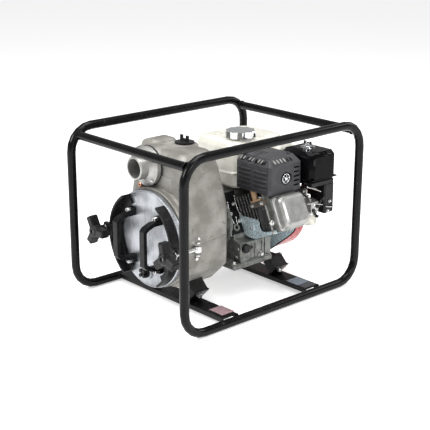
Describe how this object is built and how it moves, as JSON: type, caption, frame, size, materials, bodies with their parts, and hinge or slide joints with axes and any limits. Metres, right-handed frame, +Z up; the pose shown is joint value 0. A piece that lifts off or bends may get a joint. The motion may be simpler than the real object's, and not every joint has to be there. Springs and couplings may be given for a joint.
{
  "type": "portable fire pump",
  "caption": "Portable self-priming fire pump with a small petrol engine in a tubular carrying frame, with a round clamped cleanout cover.",
  "frame": {"origin": "on the ground under the middle of the carrying frame", "axes": "+Z up, +Y towards the recoil starter, so that the pump's cover faces -Y; the engine's cylinder leans towards +X"},
  "size_m": [0.458, 0.62, 0.449],
  "materials": {
    "black_paint": "gloss",
    "black_steel": "satin",
    "cast_aluminium": "as cast",
    "machined_aluminium": "brushed",
    "bright_steel": "satin",
    "chrome": "polished",
    "zinc_plate": "blue zinc plate",
    "cast_iron": "as cast",
    "charcoal_steel": "heat resistant matt",
    "rubber": "matt",
    "black_plastic": "satin",
    "gloss_plastic": "gloss",
    "red_paint": "gloss",
    "cream_paint": "gloss"
  },
  "bodies": {
    "pump_set": {"frame_loop_left": "black_paint", "frame_loop_right": "black_paint", "top_cross_tube_front": "black_paint", "top_cross_tube_back": "black_paint", "base_channel_front": "black_paint", "base_channel_back": "black_paint", "engine_saddle": "black_paint", "rubber_mount_front_left": "rubber", "rubber_mount_front_right": "rubber", "rubber_mount_back_left": "rubber", "rubber_mount_back_right": "rubber", "suction_gasket": "rubber", "cover_seal": "rubber", "pump_casing": "cast_aluminium", "suction_flange": "cast_aluminium", "discharge_flange": "cast_aluminium", "pump_adapter": "cast_aluminium", "crankcase": "cast_aluminium", "cylinder": "cast_aluminium", "cylinder_head": "cast_aluminium", "valve_cover": "cast_aluminium", "carburettor": "cast_aluminium", "front_cover": "machined_aluminium", "cover_handle_left": "black_steel", "cover_handle_right": "black_steel", "clamp_bar_left": "black_steel", "clamp_bar_right": "black_steel", "pivot_pin_left": "bright_steel", "pivot_pin_right": "bright_steel", "mechanical_seal": "bright_steel", "volute": "cast_iron", "silencer": "charcoal_steel", "silencer_guard": "charcoal_steel", "lower_shroud": "zinc_plate", "fan_housing": "red_paint", "recoil_cover": "black_plastic", "air_cleaner_base": "black_plastic", "air_cleaner_cover": "gloss_plastic", "fuel_tank": "cream_paint"},
    "check_flap": {"check_valve_flap": "rubber"},
    "fill_plug": {"fill_plug": "black_plastic"},
    "drain_plug": {"drain_plug": "black_plastic"},
    "swing_bolt_left": {"swing_bolt_left": "bright_steel"},
    "swing_bolt_right": {"swing_bolt_right": "bright_steel"},
    "washer_left": {"knob_washer_left": "bright_steel"},
    "washer_right": {"knob_washer_right": "bright_steel"},
    "knob_left": {"clamp_knob_left": "black_plastic"},
    "knob_right": {"clamp_knob_right": "black_plastic"},
    "rotor": {"crankshaft": "bright_steel", "impeller": "cast_iron", "flywheel": "cast_iron"},
    "oil_cap": {"oil_cap": "black_plastic"},
    "starter_reel": {"starter_reel": "black_plastic"},
    "starter_grip": {"starter_grip": "black_plastic"},
    "fuel_cap": {"fuel_cap": "chrome"},
    "air_cleaner_nut": {"air_cleaner_nut": "chrome"},
    "throttle_lever": {"throttle_lever": "bright_steel"},
    "choke_lever": {"choke_lever": "black_plastic"},
    "fuel_lever": {"fuel_lever": "black_plastic"},
    "engine_switch": {"engine_switch": "red_paint"}
  },
  "joints": [
    {"name": "rotor_turn", "type": "hinge", "parent": "pump_set", "child": "rotor", "pos_m": [-0.008, 0, 0.183], "axis": [0, 1, 0], "continuous": true},
    {"name": "swing_bolt_left_swing", "type": "hinge", "parent": "pump_set", "child": "swing_bolt_left", "pos_m": [-0.1465, -0.181, 0.183], "axis": [0, 0, -1], "range_deg": [0, 80]},
    {"name": "washer_left_slide", "type": "slide", "parent": "swing_bolt_left", "child": "washer_left", "axis": [0, -1, 0], "range_m": [0, 0.009]},
    {"name": "knob_left_turn", "type": "hinge", "parent": "washer_left", "child": "knob_left", "pos_m": [-0.1465, -0.2573, 0.183], "axis": [0, -1, 0], "range_deg": [0, 2160]},
    {"name": "swing_bolt_right_swing", "type": "hinge", "parent": "pump_set", "child": "swing_bolt_right", "pos_m": [0.1305, -0.181, 0.183], "axis": [0, 0, 1], "range_deg": [0, 80]},
    {"name": "washer_right_slide", "type": "slide", "parent": "swing_bolt_right", "child": "washer_right", "axis": [0, -1, 0], "range_m": [0, 0.009]},
    {"name": "knob_right_turn", "type": "hinge", "parent": "washer_right", "child": "knob_right", "pos_m": [0.1305, -0.2573, 0.183], "axis": [0, -1, 0], "range_deg": [0, 2160]},
    {"name": "check_flap_swing", "type": "hinge", "parent": "pump_set", "child": "check_flap", "pos_m": [-0.039, -0.1785, 0.3875], "axis": [1, 0, 0], "range_deg": [0, 55]},
    {"name": "fill_plug_turn", "type": "hinge", "parent": "pump_set", "child": "fill_plug", "pos_m": [-0.021, -0.092, 0.4043], "axis": [0, 0, 1], "range_deg": [0, 1080]},
    {"name": "drain_plug_turn", "type": "hinge", "parent": "pump_set", "child": "drain_plug", "pos_m": [-0.012, -0.2298, 0.095], "axis": [0, -1, 0], "range_deg": [0, 1080]},
    {"name": "fuel_cap_turn", "type": "hinge", "parent": "pump_set", "child": "fuel_cap", "pos_m": [-0.004, 0.084, 0.391], "axis": [0, 0, 1], "range_deg": [0, 90]},
    {"name": "oil_cap_turn", "type": "hinge", "parent": "pump_set", "child": "oil_cap", "pos_m": [0.092, 0.014, 0.129], "axis": [1, 0, 0], "range_deg": [0, 1080]},
    {"name": "air_cleaner_nut_turn", "type": "hinge", "parent": "pump_set", "child": "air_cleaner_nut", "pos_m": [0.13, 0.198, 0.3733], "axis": [0, 0, 1], "range_deg": [0, 1440]},
    {"name": "throttle_turn", "type": "hinge", "parent": "pump_set", "child": "throttle_lever", "pos_m": [0.172, 0.166, 0.2453], "axis": [0, 0, 1], "range_deg": [-50, 35]},
    {"name": "choke_turn", "type": "hinge", "parent": "pump_set", "child": "choke_lever", "pos_m": [0.1923, 0.173, 0.233], "axis": [1, 0, 0], "range_deg": [0, 60]},
    {"name": "fuel_turn", "type": "hinge", "parent": "pump_set", "child": "fuel_lever", "pos_m": [0.1923, 0.158, 0.224], "axis": [1, 0, 0], "range_deg": [-35, 35]},
    {"name": "switch_turn", "type": "hinge", "parent": "pump_set", "child": "engine_switch", "pos_m": [-0.1403, 0.18, 0.17], "axis": [-1, 0, 0], "range_deg": [-30, 30]},
    {"name": "starter_reel_turn", "type": "hinge", "parent": "pump_set", "child": "starter_reel", "pos_m": [-0.008, 0.253, 0.183], "axis": [0, 1, 0], "range_deg": [0, 625], "stiffness_Nm_per_rad": 0.03, "springref_deg": -343.77},
    {"name": "starter_grip_pull", "type": "slide", "parent": "pump_set", "child": "starter_grip", "axis": [1, 0, 0], "range_m": [0, 0.6]}
  ],
  "couplings": [
    {"joint": "washer_left_slide", "follows": "knob_left_turn", "m_per_rad": 0.00023873},
    {"joint": "washer_right_slide", "follows": "knob_right_turn", "m_per_rad": 0.00023873},
    {"joint": "starter_grip_pull", "follows": "starter_reel_turn", "m_per_rad": 0.055}
  ]
}
